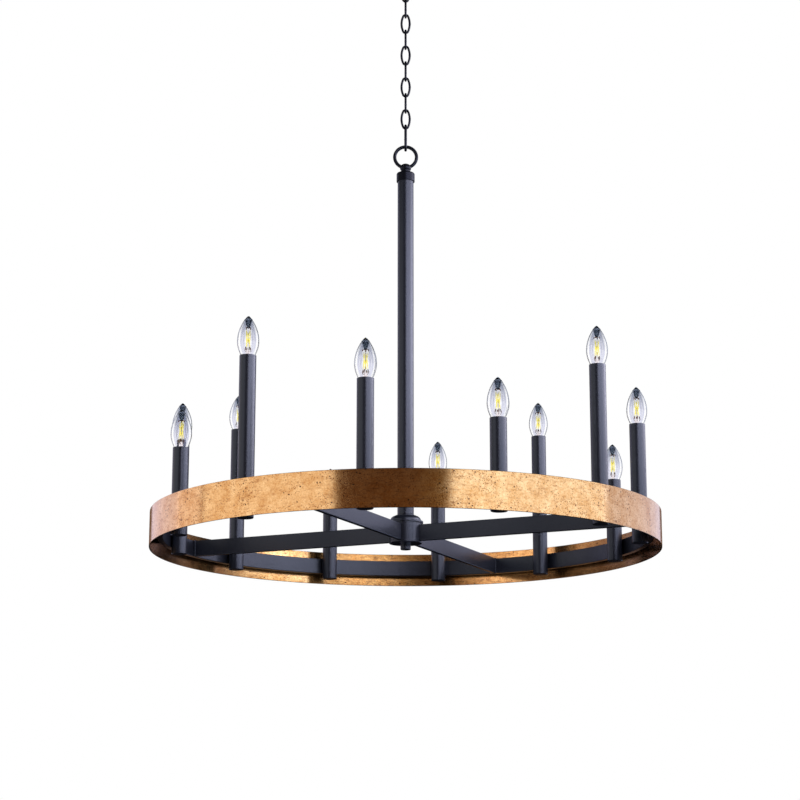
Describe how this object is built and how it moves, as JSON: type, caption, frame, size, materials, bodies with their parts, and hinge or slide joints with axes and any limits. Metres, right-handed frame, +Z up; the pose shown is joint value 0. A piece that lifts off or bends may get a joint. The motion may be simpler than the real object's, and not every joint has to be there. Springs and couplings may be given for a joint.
{
  "type": "wagon wheel chandelier",
  "caption": "Round candle chandelier: a gold band round a black spoked hoop with tall candle lamps, hung by a stem, a ring and a chain from a ceiling canopy.",
  "frame": {"origin": "middle of the mounting strap's top face, in the plane of the ceiling", "axes": "+Z up to the ceiling along the chain and stem; two of the four spokes lie along X and two along Y; the strap's slots lie along X"},
  "size_m": [0.8636, 0.8636, 1.0941],
  "materials": {
    "black_metal": "satin black powder coat with a faint blue cast",
    "gold_metal": "brushed-on antique gold leaf, mottled, with fine brown specks",
    "plated_steel": "zinc plated",
    "ground_green": "green dyed plating",
    "moulded_holder": "moulded phenolic",
    "bulb_glass": "clear blown glass"
  },
  "bodies": {
    "ceiling_fitting": {"mounting_strap": "plated_steel", "nipple": "plated_steel", "nipple_nut": "plated_steel", "ground_screw": "ground_green", "canopy": "black_metal", "collar_nut": "black_metal", "canopy_loop": "black_metal"},
    "link_1": {"chain_link_1": "black_metal"},
    "link_2": {"chain_link_2": "black_metal"},
    "link_3": {"chain_link_3": "black_metal"},
    "link_4": {"chain_link_4": "black_metal"},
    "link_5": {"chain_link_5": "black_metal"},
    "link_6": {"chain_link_6": "black_metal"},
    "link_7": {"chain_link_7": "black_metal"},
    "link_8": {"chain_link_8": "black_metal"},
    "link_9": {"chain_link_9": "black_metal"},
    "connector": {"connector_link": "black_metal"},
    "ring": {"suspension_ring": "black_metal"},
    "chandelier": {"hanger_eye": "black_metal", "stem_cap": "black_metal", "stem_tube": "black_metal", "tie_rod": "plated_steel", "hub_cover": "black_metal", "hub_shell": "black_metal", "hub_plate": "black_metal", "finial_nut": "black_metal", "spoke_1": "black_metal", "spoke_2": "black_metal", "spoke_3": "black_metal", "spoke_4": "black_metal", "inner_hoop": "black_metal", "gold_band": "gold_metal", "band_spacers": "black_metal", "tube_screws": "plated_steel", "lampholders": "moulded_holder", "tube_caps": "black_metal", "candle_tube_1": "black_metal", "candle_tube_2": "black_metal", "candle_tube_3": "black_metal", "candle_tube_4": "black_metal", "candle_tube_5": "black_metal", "candle_tube_6": "black_metal", "candle_tube_7": "black_metal", "candle_tube_8": "black_metal", "candle_tube_9": "black_metal", "candle_tube_10": "black_metal", "candle_tube_11": "black_metal", "candle_tube_12": "black_metal"},
    "lamp_1": {"bulb_1": "bulb_glass"},
    "lamp_2": {"bulb_2": "bulb_glass"},
    "lamp_3": {"bulb_3": "bulb_glass"},
    "lamp_4": {"bulb_4": "bulb_glass"},
    "lamp_5": {"bulb_5": "bulb_glass"},
    "lamp_6": {"bulb_6": "bulb_glass"},
    "lamp_7": {"bulb_7": "bulb_glass"},
    "lamp_8": {"bulb_8": "bulb_glass"},
    "lamp_9": {"bulb_9": "bulb_glass"},
    "lamp_10": {"bulb_10": "bulb_glass"},
    "lamp_11": {"bulb_11": "bulb_glass"},
    "lamp_12": {"bulb_12": "bulb_glass"}
  },
  "joints": [
    {"name": "link_1_swing", "type": "hinge", "parent": "ceiling_fitting", "child": "link_1", "pos_m": [0, 0, -0.063], "axis": [-0.4067, 0.9135, 0], "range_deg": [-8, 8]},
    {"name": "link_2_swing", "type": "hinge", "parent": "link_1", "child": "link_2", "pos_m": [0, 0, -0.09305], "axis": [0.9135, 0.4067, 0], "range_deg": [-8, 8]},
    {"name": "link_3_swing", "type": "hinge", "parent": "link_2", "child": "link_3", "pos_m": [0, 0, -0.12335], "axis": [-0.4067, 0.9135, 0], "range_deg": [-8, 8]},
    {"name": "link_4_swing", "type": "hinge", "parent": "link_3", "child": "link_4", "pos_m": [0, 0, -0.15365], "axis": [0.9135, 0.4067, 0], "range_deg": [-8, 8]},
    {"name": "link_5_swing", "type": "hinge", "parent": "link_4", "child": "link_5", "pos_m": [0, 0, -0.18395], "axis": [-0.4067, 0.9135, 0], "range_deg": [-8, 8]},
    {"name": "link_6_swing", "type": "hinge", "parent": "link_5", "child": "link_6", "pos_m": [0, 0, -0.21425], "axis": [0.9135, 0.4067, 0], "range_deg": [-8, 8]},
    {"name": "link_7_swing", "type": "hinge", "parent": "link_6", "child": "link_7", "pos_m": [0, 0, -0.24455], "axis": [-0.4067, 0.9135, 0], "range_deg": [-8, 8]},
    {"name": "link_8_swing", "type": "hinge", "parent": "link_7", "child": "link_8", "pos_m": [0, 0, -0.27485], "axis": [0.9135, 0.4067, 0], "range_deg": [-8, 8]},
    {"name": "link_9_swing", "type": "hinge", "parent": "link_8", "child": "link_9", "pos_m": [0, 0, -0.30515], "axis": [-0.4067, 0.9135, 0], "range_deg": [-8, 8]},
    {"name": "connector_swing", "type": "hinge", "parent": "link_9", "child": "connector", "pos_m": [0, 0, -0.33545], "axis": [0.9135, 0.4067, 0], "range_deg": [-8, 8]},
    {"name": "ring_swing", "type": "hinge", "parent": "connector", "child": "ring", "pos_m": [0, 0, -0.37585], "axis": [-0.4067, 0.9135, 0], "range_deg": [-8, 8]},
    {"name": "wheel_swing", "type": "hinge", "parent": "ring", "child": "chandelier", "pos_m": [0, 0, -0.40875], "axis": [0.9135, 0.4067, 0], "range_deg": [-8, 8]},
    {"name": "bulb_1_screw", "type": "hinge", "parent": "chandelier", "child": "lamp_1", "pos_m": [0.38188, 0.10232, -0.8871], "axis": [0, 0, 1], "range_deg": [0, 900]},
    {"name": "bulb_2_screw", "type": "hinge", "parent": "chandelier", "child": "lamp_2", "pos_m": [0.27955, 0.27955, -0.9441], "axis": [0, 0, 1], "range_deg": [0, 900]},
    {"name": "bulb_3_screw", "type": "hinge", "parent": "chandelier", "child": "lamp_3", "pos_m": [0.10232, 0.38188, -0.8301], "axis": [0, 0, 1], "range_deg": [0, 900]},
    {"name": "bulb_4_screw", "type": "hinge", "parent": "chandelier", "child": "lamp_4", "pos_m": [-0.10232, 0.38188, -0.8871], "axis": [0, 0, 1], "range_deg": [0, 900]},
    {"name": "bulb_5_screw", "type": "hinge", "parent": "chandelier", "child": "lamp_5", "pos_m": [-0.27955, 0.27955, -0.9441], "axis": [0, 0, 1], "range_deg": [0, 900]},
    {"name": "bulb_6_screw", "type": "hinge", "parent": "chandelier", "child": "lamp_6", "pos_m": [-0.38188, 0.10232, -0.8301], "axis": [0, 0, 1], "range_deg": [0, 900]},
    {"name": "bulb_7_screw", "type": "hinge", "parent": "chandelier", "child": "lamp_7", "pos_m": [-0.38188, -0.10232, -0.8871], "axis": [0, 0, 1], "range_deg": [0, 900]},
    {"name": "bulb_8_screw", "type": "hinge", "parent": "chandelier", "child": "lamp_8", "pos_m": [-0.27955, -0.27955, -0.9441], "axis": [0, 0, 1], "range_deg": [0, 900]},
    {"name": "bulb_9_screw", "type": "hinge", "parent": "chandelier", "child": "lamp_9", "pos_m": [-0.10232, -0.38188, -0.8301], "axis": [0, 0, 1], "range_deg": [0, 900]},
    {"name": "bulb_10_screw", "type": "hinge", "parent": "chandelier", "child": "lamp_10", "pos_m": [0.10232, -0.38188, -0.8871], "axis": [0, 0, 1], "range_deg": [0, 900]},
    {"name": "bulb_11_screw", "type": "hinge", "parent": "chandelier", "child": "lamp_11", "pos_m": [0.27955, -0.27955, -0.9441], "axis": [0, 0, 1], "range_deg": [0, 900]},
    {"name": "bulb_12_screw", "type": "hinge", "parent": "chandelier", "child": "lamp_12", "pos_m": [0.38188, -0.10232, -0.8301], "axis": [0, 0, 1], "range_deg": [0, 900]}
  ]
}
